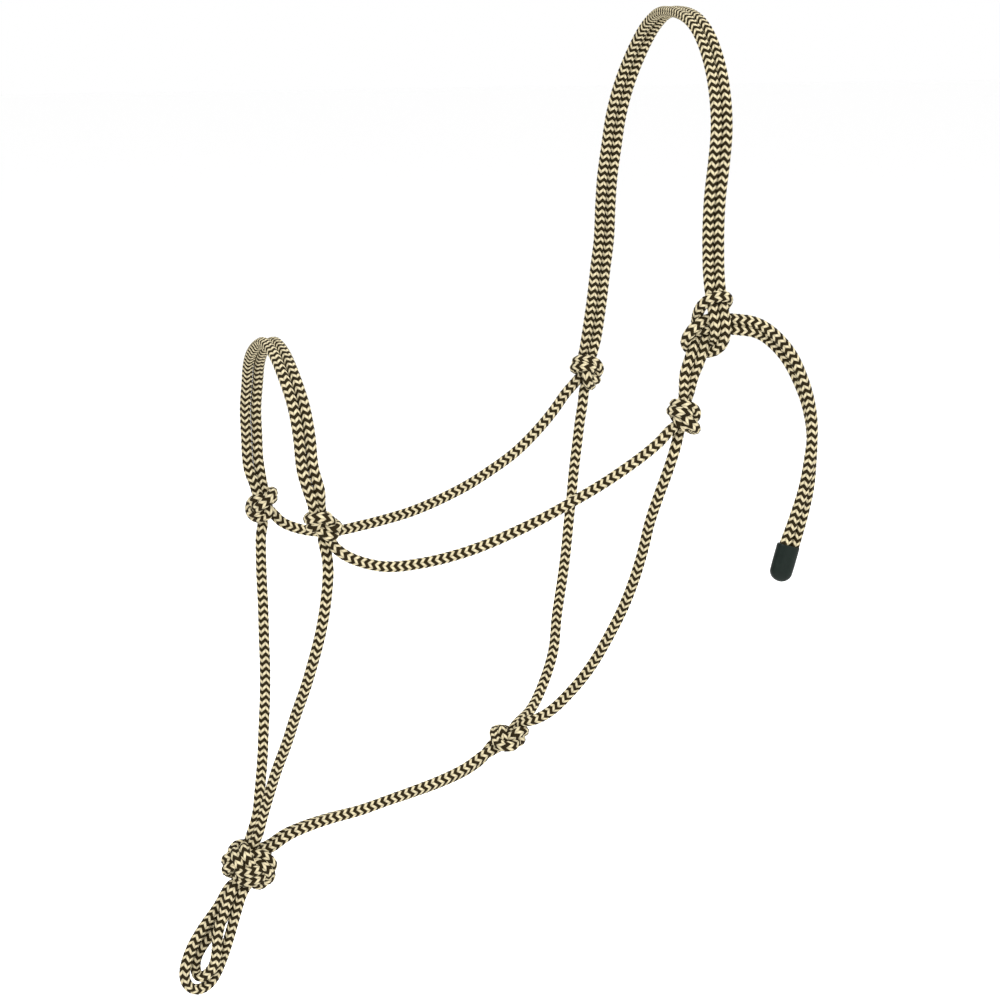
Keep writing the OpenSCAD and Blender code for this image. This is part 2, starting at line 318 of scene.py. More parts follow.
def pull_tight(cords, press, centre, steps, left=0.0, shrink=0.985, stiff=0.12, squeeze=0.003):
    """Pull the slack out of loosely drawn cords whose ends are held. They press on each other and
    don't pass through. left is the share of each cord's drawn length that it keeps at least."""
    count = [len(c) for c in cords]
    first = np.concatenate([[0], np.cumsum(count)])
    x = np.vstack(cords)
    cord_of = np.repeat(np.arange(len(cords)), count)
    place = np.concatenate([np.arange(n) for n in count])
    link = np.array([np.linalg.norm(np.diff(c, axis=0), axis=1).mean() for c in cords])
    shortest = link * left
    held = np.zeros(len(x), bool)
    for a, b in zip(first[:-1], first[1:]):
        held[[a, a + 1, b - 2, b - 1]] = True
    home = x[held].copy()
    every_i, every_j = np.triu_indices(len(x), 1)
    for step in range(steps):
        if step % 4 == 0:
            near = ((x[every_i] - x[every_j]) ** 2).sum(1) < (press + 4 * MM) ** 2
            i, j = every_i[near], every_j[near]
            apart = (cord_of[i] != cord_of[j]) | (np.abs(place[i] - place[j]) > np.ceil(1.45 * press / link.mean()))
            i, j = i[apart], j[apart]
        for _ in range(4):
            for k, (a, b) in enumerate(zip(first[:-1], first[1:])):
                x[a + 1:b - 1] += stiff * (0.5 * (x[a:b - 2] + x[a + 2:b]) - x[a + 1:b - 1])
                for odd in (0, 1):
                    m = np.arange(a + odd, b - 1, 2)
                    d = x[m + 1] - x[m]
                    n = np.linalg.norm(d, axis=1, keepdims=True)
                    d *= 0.5 * (n - link[k]) / n
                    x[m] += d
                    x[m + 1] -= d
            if step > 0.3 * steps:
                r = x - centre
                far = np.linalg.norm(r, axis=1, keepdims=True)
                x -= squeeze * r * np.clip((SQUEEZE_REACH - far) / SQUEEZE_FADE, 0, 1)
            d = x[i] - x[j]
            n = np.linalg.norm(d, axis=1)
            hit = n < press
            push, hits = np.zeros_like(x), np.zeros(len(x))
            w = (0.5 * (press - n[hit]) / n[hit])[:, None] * d[hit]
            np.add.at(push, i[hit], w)
            np.add.at(push, j[hit], -w)
            np.add.at(hits, i[hit], 1)
            np.add.at(hits, j[hit], 1)
            x += push / np.maximum(0.5 * hits, 1)[:, None]
            x[held] = home
        if not hit.any() or (press - n[hit]).max() < 0.25 * press:
            for k, (a, b) in enumerate(zip(first[:-1], first[1:])):
                if link[k] > shortest[k] and np.linalg.norm(np.diff(x[a:b], axis=0), axis=1).mean() < 1.03 * link[k]:
                    link[k] *= shrink
    # The part where different cords cross is the knot itself: bring its middle to the centre.
    crossing = ((cord_of[i] != cord_of[j]) & (np.abs(place[i] - place[j]) > 4)
                & (np.linalg.norm(x[i] - x[j], axis=1) < 1.1 * press))
    knot = np.concatenate([i[crossing], j[crossing]])
    for reach in (30 * MM, 24 * MM, 20 * MM):
        inside = knot[np.linalg.norm(x[knot] - centre, axis=1) < reach]
        if len(inside):
            x += centre - x[inside].mean(axis=0)
    return [x[a:b] for a, b in zip(first[:-1], first[1:])]


# A loose overhand, drawn flat: along, up, and towards the back, in millimetres.
LOOSE_OVERHAND = np.array([
    (-34, 0, -4), (-18, 0, -7), (-6, -1, 0), (5, -2, 7), (16, -2, 0), (24, 6, -7), (18, 20, 0), (0, 26, 0),
    (-16, 18, 2), (-18, 0, 7), (-12, -16, 3), (-2, -18, -3), (5, -2, -7), (10, 6, 0), (24, 6, 7),
    (40, 4, 3)]) * 1.25 * MM

# A loose sheet bend, drawn flat: rearwards, up, and towards the back. The crown's two cords
# come down behind the eye, through it, round its neck, and out under themselves.
LOOSE_BEND = np.array([
    (2, 44, 2), (2, 24, 9), (1, 9, 2), (3, -4, -16), (9, -17, -14), (17, -25, -2), (5, -29, 10), (-12, -25, 10),
    (-25, -14, 0), (-16, -4, -8), (-1, -2, -6), (15, 0, -8), (30, 0, -5)]) * 1.3 * MM
LOOSE_EYE = np.array([
    (-10, -40, 0), (-7, -28, 0), (-12, -12, 0), (-16, 4, 0), (-9, 18, -2), (4, 21, -5), (15, 14, -1), (15, 2, 0),
    (9, -12, 0), (1, -28, 0), (-4, -40, 0)]) * 1.3 * MM


def trimmed(line, centre, reach):
    """The part of a tightened cord that lies within reach of the knot's centre."""
    inside = np.flatnonzero(np.linalg.norm(line - centre, axis=1) <= reach)
    return line[inside[0]:inside[-1] + 1]


def flattened(line, centre, axis, amount):
    """A tightened cord pushed together along one axis and spread across it, near the centre only."""
    r = line - centre
    u = (r @ axis)[:, None] * axis
    near = np.exp(-(np.linalg.norm(r, axis=1, keepdims=True) / FLATTEN_REACH) ** 4)
    return line + amount * near * (0.7 * (r - u) - u)


def held_line(start, middle, end):
    """A loose cord whose ends are held far out, each by two points."""
    start_pair = [start, start * 0.97 + middle[0] * 0.03]
    end_pair = [end * 0.97 + middle[-1] * 0.03, end]
    return smooth_line(np.vstack([start_pair, middle, end_pair]), LOOSE_STEP)


def tie_overhand(name, pair, singles):
    """A doubled overhand. pair and singles are the two cord ends on each side: (end name, point near the knot)."""
    flip, turn = KNOT_TURNS[name]
    centre = np.array(KNOTS[name])
    out = {end: unit(point - centre) for end, point in pair + singles}
    p = unit(sum(out[end] for end, _ in pair))
    q = unit(sum(out[end] for end, _ in singles))
    half = 0.5 * (pair[0][1] - pair[1][1])
    half -= p * (half @ p)
    half = unit(half) * 0.5 * sizes().rope
    along = unit(q - p)
    back = unit(Y - along * along[1]) if abs(along[1]) < 0.9 else unit(X - along * along[0])
    up = np.cross(along, back)
    turn = np.radians(turn)
    back, up = np.cos(turn) * back + np.sin(turn) * up, flip * (np.cos(turn) * up - np.sin(turn) * back)
    loose = LOOSE_OVERHAND @ np.stack([along, up, back * 1.1])
    lines = doubled(smooth_line(loose, 1 * MM), LOOSE_OFFSET, back * flip)
    side = 1 if (lines[0][0] - lines[1][0]) @ half > 0 else -1
    pair_ends = [(pair[0][0], half), (pair[1][0], -half)][::side]
    tail_way = lines[0][-1] - lines[1][-1]
    single_ends = sorted((end for end, _ in singles), key=lambda end: -(out[end] @ tail_way))
    far = OVERHAND_HOLD
    cords = [held_line(p * far + offset, line[::12], out[single] * far) + centre
             for line, (_, offset), single in zip(lines, pair_ends, single_ends)]
    cords = pull_tight(cords, sizes().knot_press, centre, 550)
    cords = [flattened(cord, centre, along, KNOT_FLATS.get(name, 0.0)) for cord in cords]
    return [((a, name), (b, name), trimmed(cord, centre, SMALL_KNOT_REACH))
            for cord, (a, _), b in zip(cords, pair_ends, single_ends)]


def tie_bend(crown, tail):
    """The sheet bend that ties the crown to the eye. crown and tail are the cord ends that enter and leave it."""
    centre = np.array(KNOTS["tie_knot"])
    flat = np.stack([X, Z, Y])
    way = {end: unit(point - centre) for end, point in crown + tail}
    far = BEND_HOLD
    up = unit(sum(way[e] for e, _ in crown)) * far
    aside = unit(sum(way[e] for e, _ in tail)) * far
    down = unit(np.array(KNOTS["cheek_knot_near"]) - centre) * far
    lines = sorted(doubled(smooth_line(LOOSE_BEND @ flat, 1 * MM), LOOSE_OFFSET, Y), key=lambda line: line[0][0])
    half = 0.5 * sizes().rope
    crown_ends = sorted(crown, key=lambda e: e[1][0])
    low_first = lines[0][-1][2] < lines[1][-1][2]
    tail_ends = sorted(tail, key=lambda e: e[1][2], reverse=not low_first)
    cords = []
    for line, side in zip(lines, (-1, 1)):
        leave = aside + Z * half * (side if low_first else -side)
        cords.append(held_line(up + X * half * side, line[::12], leave) + centre)
    legs = unit(Y + 0.35 * X) * half
    cords.append(held_line(down - legs, LOOSE_EYE @ flat, down + legs) + centre)
    cords = pull_tight(cords, sizes().bend_press, centre, 600,
                       left=np.array(BEND_LEFT), squeeze=0)
    cords = [cord + BEND_SHIFT for cord in cords]
    bend = [((c[0], "tie_knot"), (t[0], "tie_knot"), trimmed(cord, centre, TIE_KNOT_REACH))
            for cord, c, t in zip(cords, crown_ends, tail_ends)]
    neck = trimmed(cords[2], centre, 30 * MM)
    return bend, neck


def turks_head(centre, axis, rope):
    """Two cords side by side woven round a ball in three leads and four bights, as a fiador knot shows."""
    side = unit(np.cross(axis, Y))
    across = np.cross(axis, side)
    t = np.linspace(0, 2 * np.pi, 420)
    rings = []
    for offset in (-0.46 * rope, 0.46 * rope):
        def ball(t):
            turn = 3 * t
            rise = 0.98 * np.cos(4 * t)
            r = BALL_RADIUS + BALL_WAVE * np.sin(8 * t)
            flat = (1 - (0.86 * rise) ** 2) ** 0.3
            wide = r * flat + 1.8 * MM
            level = np.cos(turn)[:, None] * side + np.sin(turn)[:, None] * across
            return wide[:, None] * level + (r * BALL_HEIGHT * rise)[:, None] * axis
        middle = ball(t)
        out = middle / np.linalg.norm(middle, axis=1, keepdims=True)
        sideways = np.cross(tangents(middle), out)
        rings.append(centre + middle + offset * sideways / np.linalg.norm(sideways, axis=1, keepdims=True))
    return rings


# == Laying the one long cord

def route(name):
    return np.array(ROUTES[name], float)


def loop_route(name):
    """A lead loop's route, turned from its own directions into the frame's."""
    down = np.array([-np.sin(LOOP_TILT), 0, -np.cos(LOOP_TILT)])
    aside = np.array([np.cos(LOOP_TILT), 0, -np.sin(LOOP_TILT)])
    return np.array(KNOTS["fiador_knot"]) + route(name) @ np.stack([down, aside, -Y])


def open_routes():
    """Every stretch of cord between knots: its points, and the knots at its first and last point."""
    half = 0.5 * (sizes().rope + sizes().strand_gap)
    crown, noseband, jaw, tail = (route(n) for n in ("crown", "noseband", "jaw", "tail"))
    spans = {
        "crown_strand_front": (beside(crown, X, -half), "cheek_knot_off", "tie_knot"),
        "crown_strand_rear": (beside(crown, X, half), "cheek_knot_off", "tie_knot"),
        "noseband_strand_front": (beside(noseband, X, -half), "nose_knot_off", "nose_knot_near"),
        "noseband_strand_rear": (beside(noseband, X, half), "nose_knot_off", "nose_knot_near"),
        "jaw_strand_near": (beside(jaw, Y, -half, 35, 0), "throat_knot", "fiador_knot"),
        "jaw_strand_off": (beside(jaw, Y, half, 35, 0), "throat_knot", "fiador_knot"),
        "tail_strand_front": (beside(tail, Y, -half, 130, 270), "tie_knot", "cap"),
        "tail_strand_rear": (beside(tail, Y, half, 130, 270), "tie_knot", "cap"),
        "lead_loop_outer": (loop_route("lead_loop_outer"), "fiador_knot", "fiador_knot"),
        "lead_loop_inner": (loop_route("lead_loop_inner"), "fiador_knot", "fiador_knot"),
    }
    for side in ("near", "off"):
        spans["cheek_rope_" + side] = (route("cheek_rope_" + side), "nose_knot_" + side, "cheek_knot_" + side)
        spans["chin_rope_" + side] = (route("chin_rope_" + side), "nose_knot_" + side, "fiador_knot")
        spans["throat_rope_" + side] = (route("throat_rope_" + side), "cheek_knot_" + side, "throat_knot")
    return spans


def clear_of_knots(line, knots, reach=None):
    keep = np.ones(len(line), bool)
    for knot in knots:
        if knot in KNOTS:
            start = reach or ROUTE_START.get(knot, SMALL_ROUTE_START)
            keep &= np.linalg.norm(line - np.array(KNOTS[knot]), axis=1) > start
    return line[keep]


def lay_cord():
    """Every piece's cords: name -> list of (points, distance along the cord, normals)."""
    fine = 1.5 * MM
    spans = {}
    for name, (points, start, end) in open_routes().items():
        line = clear_of_knots(smooth_line(points, fine), (start, end), 12 * MM if "lead" in name else None)
        ends = [(name, start), (name, end)]
        if start == end:
            ends = [(name + " 1", start), (name + " 2", end)]
        spans[name] = (ends[0], ends[1], line)

    def near(name, knot):
        a, b, line = spans[name]
        return name, line[0] if a[1] == knot else line[-1]

    def both(names, knot):
        return [near(name, knot) for name in names]

    ties = {}
    bend, neck = tie_bend(both(("crown_strand_front", "crown_strand_rear"), "tie_knot"),
                          both(("tail_strand_front", "tail_strand_rear"), "tie_knot"))
    ties["tie_knot"] = bend
    neck = clear_of_knots(neck, ["cheek_knot_near"], 20 * MM)
    spans["eye_loop"] = (("eye 1", "cheek_knot_near"), ("eye 2", "cheek_knot_near"), neck)
    eye = [("eye 1", neck[0]), ("eye 2", neck[-1])]
    crown, nose = (tuple(name + end for end in ("_strand_front", "_strand_rear")) for name in ("crown", "noseband"))
    for knot, pair, singles in (
            ("cheek_knot_near", None, ("cheek_rope_near", "throat_rope_near")),
            ("cheek_knot_off", crown, ("cheek_rope_off", "throat_rope_off")),
            ("nose_knot_near", nose, ("cheek_rope_near", "chin_rope_near")),
            ("nose_knot_off", nose, ("cheek_rope_off", "chin_rope_off")),
            ("throat_knot", ("jaw_strand_near", "jaw_strand_off"), ("throat_rope_near", "throat_rope_off"))):
        ties[knot] = tie_overhand(knot, both(pair, knot) if pair else eye, both(singles, knot))
    core = np.array(KNOTS["fiador_knot"])
    ties["fiador_knot"] = []
    for a, b, lean in (("jaw_strand_near", "lead_loop_outer 1", (1, -1, 0)),
                       ("chin_rope_near", "lead_loop_outer 2", (-1, -1, 0)),
                       ("chin_rope_off", "lead_loop_inner 1", (-1, 1, 0)),
                       ("jaw_strand_off", "lead_loop_inner 2", (1, 1, 0))):
        through = core + np.array([unit(lean) * 2 * MM + Z * h for h in (5 * MM, 0, -5 * MM)])
        ties["fiador_knot"].append(((a, "fiador_knot"), (b, "fiador_knot"), through))

    stretches = {name: [span] for name, span in spans.items()}
    stretches.update(ties)
    at_end = {}
    for name, group in stretches.items():
        for a, b, line in group:
            for end, toward in ((a, line), (b, line[::-1])):
                at_end.setdefault(end, []).append((name, b if end == a else a, toward))
    pieces = {}
    used = set()
    starts = [end for end in at_end if end[1] == "cap"] + sorted(at_end)
    for start in starts:
        if (start, at_end[start][0][0]) in used:
            continue
        run, end = [], start
        options = at_end[end]
        while True:
            step = next((s for s in options if (end, s[0]) not in used), None)
            if step is None:
                break
            used |= {(end, step[0]), (step[1], step[0])}
            run.append((step[0], step[2]))
            end = step[1]
            options = at_end[end]
        wind(run, pieces)
    return pieces


def wind(run, pieces):
    """Join a run of stretches into one smooth line, and cut it back into each piece's own cord."""
    points, owner = [], []
    names = [name for name, _ in run]
    for k, (name, line) in enumerate(run):
        if points:
            a, b = points[-1], line
            join = bridge(a[-1], unit(a[-1] - a[-3]), b[0], unit(b[2] - b[0]), 1.5 * MM)
            owner_of_join = names[k] if names[k] not in KNOTS else names[k - 1]
            points.append(join)
            owner += [k if owner_of_join == names[k] else k - 1] * len(join)
        points.append(line)
        owner += [k] * len(line)
    line = np.vstack([p for p in points if len(p)])
    owner = np.array(owner)
    keep = np.concatenate([[True], np.linalg.norm(np.diff(line, axis=0), axis=1) > 0.05 * MM])
    line, owner = line[keep], owner[keep]
    for _ in range(6):
        line[1:-1] += 0.5 * (0.5 * (line[:-2] + line[2:]) - line[1:-1])
    s = lengths_along(line)
    t = np.linspace(0, s[-1], int(s[-1] / STEP) + 1)
    fine = np.stack([np.interp(t, s, line[:, k]) for k in range(3)], axis=1)
    for _ in range(4):
        fine[1:-1] += 0.5 * (0.5 * (fine[:-2] + fine[2:]) - fine[1:-1])
    belongs = owner[np.minimum(np.searchsorted(s, t), len(s) - 1)]
    way = tangents(fine)
    normals = np.empty_like(fine)
    n = unit(np.cross(way[0], Y + 0.1 * X))
    for i, w in enumerate(way):
        n = n - w * (n @ w)
        n /= np.linalg.norm(n)
        normals[i] = n
    along = lengths_along(fine)
    cuts = np.concatenate([[0], np.flatnonzero(np.diff(belongs)) + 1, [len(fine)]])
    for a, b in zip(cuts[:-1], cuts[1:]):
        b = min(b + 1, len(fine))
        if b - a > 2:
            pieces.setdefault(names[belongs[a]], []).append((fine[a:b], along[a:b], normals[a:b]))


CORDS = {}


def cords(name):
    if not CORDS:
        CORDS.update(lay_cord())
        for side in ("near", "off"):
            (line, along, normals), = CORDS["throat_rope_" + side]
            near = np.linalg.norm(line - np.array(KNOTS["cheek_knot_" + side]), axis=1) < 40 * MM
            lead = np.flatnonzero(near)
            a, b = lead[0], lead[-1]
            CORDS["throat_lead_" + side] = [(line[a:b + 1], along[a:b + 1], normals[a:b + 1])]
            rest = slice(b, None) if a == 0 else slice(None, a + 1)
            CORDS["throat_rope_" + side] = [(line[rest], along[rest], normals[rest])]
        rope = sizes().rope
        axis = np.array([np.sin(LOOP_TILT), 0, np.cos(LOOP_TILT)])
        for ring in turks_head(np.array(KNOTS["fiador_knot"]), axis, rope):
            ring = resample(ring, STEP)
            way = tangents(ring)
            normals = ring - np.array(KNOTS["fiador_knot"])
            normals -= way * (normals * way).sum(1, keepdims=True)
            normals /= np.linalg.norm(normals, axis=1, keepdims=True)
            CORDS["fiador_knot"].append((ring, lengths_along(ring), normals))
    return CORDS[name]


# == The braid

class Sums:
    """Short hand for arithmetic nodes, in a geometry or a material tree."""

    def __init__(self, tree):
        self.tree = tree

    def __call__(self, operation, *values):
        node = self.tree.nodes.new("ShaderNodeMath")
        node.operation = operation
        for socket, value in zip(node.inputs, values):
            if isinstance(value, (int, float)):
                socket.default_value = value
            else:
                self.tree.links.new(value, socket)
        return node.outputs[0]


def braid_pattern(sums, along, cos_turn, sin_turn, columns, stitch, slant):
    """The braid at a point: its column and row of stitches, how far across the row, and how high the stitch stands."""
    turn = sums("ADD", sums("DIVIDE", sums("ARCTAN2", sin_turn, cos_turn), 2 * np.pi), 0.5)
    column = sums("MULTIPLY", turn, columns)
    column_no = sums("FLOOR", column)
    across = sums("SUBTRACT", sums("FRACT", column), 0.5)
    hand = sums("SUBTRACT", sums("MULTIPLY", sums("MODULO", column_no, 2.0), 2.0), 1.0)
    climb = sums("MULTIPLY", sums("MULTIPLY", hand, across), slant)
    row = sums("ADD", sums("ADD", sums("DIVIDE", along, stitch), climb), 1000.0)
    row_no = sums("FLOOR", row)
    in_row = sums("SUBTRACT", sums("FRACT", row), 0.5)

    def dome(value, power):
        return sums("SUBTRACT", 1.0, sums("POWER", sums("ABSOLUTE", sums("MULTIPLY", value, 2.0)), power))

    height = sums("MULTIPLY", dome(across, 2.4), dome(in_row, 2.2))
    return {"column": column, "column_no": column_no, "row": row, "row_no": row_no, "in_row": in_row, "height": height}


def braid_tree():
    """Geometry nodes: a round cord along each line, with braided stitches standing out of it."""
    tree = bpy.data.node_groups.new("Braided cord", "GeometryNodeTree")
    face = tree.interface
    face.new_socket("Geometry", in_out="INPUT", socket_type="NodeSocketGeometry")
    face.new_socket("Geometry", in_out="OUTPUT", socket_type="NodeSocketGeometry")
    for name, kind in (("Stitch relief", "Float"), ("Stitch length", "Float"), ("Slant", "Float"),
                       ("Columns", "Int"), ("Sides", "Int"), ("Material", "Material")):
        face.new_socket(name, in_out="INPUT", socket_type="NodeSocket" + kind)
    new, join = tree.nodes.new, tree.links.new
    given, result = new("NodeGroupInput"), new("NodeGroupOutput")

    def named(name, kind):
        node = new("GeometryNodeInputNamedAttribute")
        node.data_type = kind
        node.inputs["Name"].default_value = name
        return node.outputs["Attribute"]

    curve = new("GeometryNodeMeshToCurve")
    join(given.outputs["Geometry"], curve.inputs["Mesh"])
    normal = new("GeometryNodeSetCurveNormal")
    normal.mode = "FREE"
    join(curve.outputs[0], normal.inputs["Curve"])
    join(named("cord_normal", "FLOAT_VECTOR"), normal.inputs["Normal"])

    circle = new("GeometryNodeCurvePrimitiveCircle")
    circle.inputs["Radius"].default_value = 1.0
    join(given.outputs["Sides"], circle.inputs["Resolution"])
    around = new("GeometryNodeStoreNamedAttribute")
    around.data_type = "FLOAT_VECTOR"
    around.inputs["Name"].default_value = "around"
    join(circle.outputs["Curve"], around.inputs["Geometry"])
    position = new("GeometryNodeInputPosition")
    join(position.outputs[0], around.inputs["Value"])

    sweep = new("GeometryNodeCurveToMesh")
    sweep.inputs["Fill Caps"].default_value = True
    join(normal.outputs[0], sweep.inputs["Curve"])
    join(around.outputs[0], sweep.inputs["Profile Curve"])
    join(named("cord_radius", "FLOAT"), sweep.inputs["Scale"])

    sums = Sums(tree)
    parts = new("ShaderNodeSeparateXYZ")
    join(named("around", "FLOAT_VECTOR"), parts.inputs[0])
    braid = braid_pattern(sums, named("along", "FLOAT"), parts.outputs[0], parts.outputs[1],
                          given.outputs["Columns"], given.outputs["Stitch length"], given.outputs["Slant"])
    outwards = new("GeometryNodeInputNormal")
    lift = new("ShaderNodeVectorMath")
    lift.operation = "SCALE"
    join(outwards.outputs[0], lift.inputs[0])
    join(sums("MULTIPLY", braid["height"], given.outputs["Stitch relief"]), lift.inputs["Scale"])
    raise_stitches = new("GeometryNodeSetPosition")
    join(sweep.outputs[0], raise_stitches.inputs["Geometry"])
    join(lift.outputs[0], raise_stitches.inputs["Offset"])

    smooth = new("GeometryNodeSetShadeSmooth")
    join(raise_stitches.outputs[0], smooth.inputs["Geometry"])
    realize = new("GeometryNodeRealizeInstances")
    join(smooth.outputs[0], realize.inputs[0])
    finish = new("GeometryNodeSetMaterial")
    join(realize.outputs[0], finish.inputs["Geometry"])
    join(given.outputs["Material"], finish.inputs["Material"])
    join(finish.outputs[0], result.inputs[0])
    return tree


def braided_rope_material():
    """Cream and dark yarns braided into zigzag bands, each stitch a soft oval of fine fibres, with painted shade
    darkening each stitch's colour towards its edges.
    """
    material = bpy.data.materials.get("braided_rope") or bpy.data.materials.new("braided_rope")
    if material.get("made"):
        return material
    material["made"] = True
    material.use_nodes = True
    tree = material.node_tree
    tree.nodes.clear()
    new, join, sums = tree.nodes.new, tree.links.new, Sums(tree)
    along = new("ShaderNodeAttribute")
    along.attribute_name = "along"
    around = new("ShaderNodeAttribute")
    around.attribute_name = "around"
    parts = new("ShaderNodeSeparateXYZ")
    join(around.outputs["Vector"], parts.inputs[0])
    s = sizes()
    braid = braid_pattern(sums, along.outputs["Fac"], parts.outputs[0], parts.outputs[1],
                          float(s.columns), s.stitch, s.slant)

    def vector(x, y, z=0.0):
        node = new("ShaderNodeCombineXYZ")
        for socket, value in zip(node.inputs, (x, y, z)):
            if isinstance(value, (int, float)):
                socket.default_value = value
            else:
                join(value, socket)
        return node.outputs[0]

    # Fibres run along each stitch: fine across the row, long across the column.
    fibre = new("ShaderNodeTexNoise")
    fibre.inputs["Scale"].default_value = 1.0
    fibre.inputs["Detail"].default_value = 3.0
    join(vector(sums("MULTIPLY", braid["row"], 9.0), sums("MULTIPLY", braid["column"], 1.6)), fibre.inputs["Vector"])
    stitch_tone = new("ShaderNodeTexWhiteNoise")
    stitch_tone.noise_dimensions = "2D"
    join(vector(braid["row_no"], braid["column_no"]), stitch_tone.inputs["Vector"])

    # Every second row is cream, and a little narrower than the dark one: the dark colour along the cream rows' edges
    # stands partly for the wider dark yarn and partly for painted shade in the crevices between rows.
    light = sums("MULTIPLY", sums("MODULO", braid["row_no"], 2.0),
                 sums("LESS_THAN", sums("ABSOLUTE", braid["in_row"]), 0.46))
    yarn = new("ShaderNodeMix")
    yarn.data_type = "RGBA"
    join(light, yarn.inputs["Factor"])
    yarn.inputs["A"].default_value = (*colours().dark, 1)
    yarn.inputs["B"].default_value = (*colours().cream, 1)
    tone = sums("ADD", sums("MULTIPLY", fibre.outputs["Fac"], 0.5),
                sums("MULTIPLY", stitch_tone.outputs["Value"], 0.16))
    # Painted shade: the colour darkens to a third towards each stitch's edges, where the crevices between stitches lie.
    # The shade value is the stitches' random tone times this painted shade.
    painted_crevice_shade = sums("MULTIPLY", sums("POWER", sums("MAXIMUM", braid["height"], 0.0), 0.45), 0.66)
    shade = sums("MULTIPLY", sums("ADD", tone, 0.67), sums("ADD", painted_crevice_shade, 0.34))
    tint = new("ShaderNodeVectorMath")
    tint.operation = "SCALE"
    join(yarn.outputs["Result"], tint.inputs[0])
    join(shade, tint.inputs["Scale"])

    relief = sums("ADD", sums("MULTIPLY", braid["height"], 1.0), sums("MULTIPLY", fibre.outputs["Fac"], 0.22))
    bump = new("ShaderNodeBump")
    bump.inputs["Strength"].default_value = 0.8
    bump.inputs["Distance"].default_value = 0.3 * MM
    join(relief, bump.inputs["Height"])

    shader = new("ShaderNodeBsdfPrincipled")
    join(tint.outputs[0], shader.inputs["Base Color"])
    join(bump.outputs["Normal"], shader.inputs["Normal"])
    join(sums("ADD", 0.62, sums("MULTIPLY", fibre.outputs["Fac"], 0.3)), shader.inputs["Roughness"])
    shader.inputs["Specular IOR Level"].default_value = 0.08
    output = new("ShaderNodeOutputMaterial")
    join(shader.outputs[0], output.inputs["Surface"])
    return material


def keep_object(name, mesh):
    """A new object for a mesh whose points already lie in the frame."""
    thing = bpy.data.objects.new(name, mesh)
    bpy.context.scene.collection.objects.link(thing)
    return thing


def braided_piece(name):
    """One finished mesh of braided cord along a piece's lines."""
    s = sizes()
    lines = cords(name)
    mesh = bpy.data.meshes.new(name + "_lines")
    points = np.vstack([line for line, _, _ in lines])
    edges, first = [], 0
    for line, _, _ in lines:
        edges += [(first + k, first + k + 1) for k in range(len(line) - 1)]
        first += len(line)
    mesh.from_pydata(points.tolist(), edges, [])
    for label, kind, values in (("along", "FLOAT", np.concatenate([a for _, a, _ in lines])),
                                ("cord_radius", "FLOAT", np.full(len(points), 0.5 * s.rope - 0.7 * s.relief)),
                                ("cord_normal", "FLOAT_VECTOR", np.vstack([n for _, _, n in lines]))):
        attribute = mesh.attributes.new(label, kind, "POINT")
        attribute.data.foreach_set("vector" if kind == "FLOAT_VECTOR" else "value", values.astype(np.float32).ravel())
    source = keep_object(name + "_lines", mesh)
    tree = bpy.data.node_groups.get("Braided cord") or braid_tree()
    cord = source.modifiers.new("Braid", "NODES")
    cord.node_group = tree
    inputs = {"Stitch relief": s.relief, "Stitch length": s.stitch, "Slant": s.slant, "Columns": s.columns,
              "Sides": 32, "Material": braided_rope_material()}
    for item in tree.interface.items_tree:
        if item.in_out == "INPUT" and item.name in inputs:
            cord[item.identifier] = inputs[item.name]
    bpy.context.view_layer.update()
    built = bpy.data.meshes.new_from_object(source.evaluated_get(bpy.context.evaluated_depsgraph_get()))
    bpy.data.objects.remove(source)
    bpy.data.meshes.remove(mesh)
    built.name = "braided_" + name
    return keep_object("braided_" + name, built)


def declare_cord(name, far_end="object"):
    line = cords(name)[0][0]
    tip = np.array(TAIL_TIP)
    if far_end == "fitting" and np.linalg.norm(line[0] - tip) < np.linalg.norm(line[-1] - tip):
        line = line[::-1]


def toward(knot, point, near, far):
    """Two places on the way from a knot to a point, at the given distances from the knot."""
    centre = np.array(KNOTS[knot])
    way = unit(np.array(point) - centre)
    return tuple(centre + way * near), tuple(centre + way * far)


# == Pieces

class HALTER_OT_crown(bpy.types.Operator):
    """Two cords over the poll, side by side."""
    bl_idname = "halter.crown"
    bl_label = "Crown"

    def execute(self, context):
        for name in ("crown_strand_front", "crown_strand_rear"):
            piece = braided_piece(name)
            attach(piece, "crown")
            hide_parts(name)
            declare_cord(name)
        return {"FINISHED"}


class HALTER_OT_knots(bpy.types.Operator):
    """The tie knot with its eye, the five small knots and the fiador knot."""
    bl_idname = "halter.knots"
    bl_label = "Knots"

    def execute(self, context):
        rides = {"tie_knot": "crown", "eye_loop": "crown", "cheek_knot_near": "crown", "cheek_knot_off": "crown",
                 "nose_knot_near": "face", "nose_knot_off": "face", "throat_knot": "throat", "fiador_knot": "jaw"}
        for name, body in rides.items():
            piece = braided_piece(name)
            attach(piece, body)
            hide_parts(name)
        return {"FINISHED"}


class HALTER_OT_noseband(bpy.types.Operator):
    """Two cords over the nose, between the nose knots."""
    bl_idname = "halter.noseband"
    bl_label = "Noseband"

    def execute(self, context):
        for name in ("noseband_strand_front", "noseband_strand_rear"):
            piece = braided_piece(name)
            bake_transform(piece)
            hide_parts(name)
            declare_cord(name)
        return {"FINISHED"}


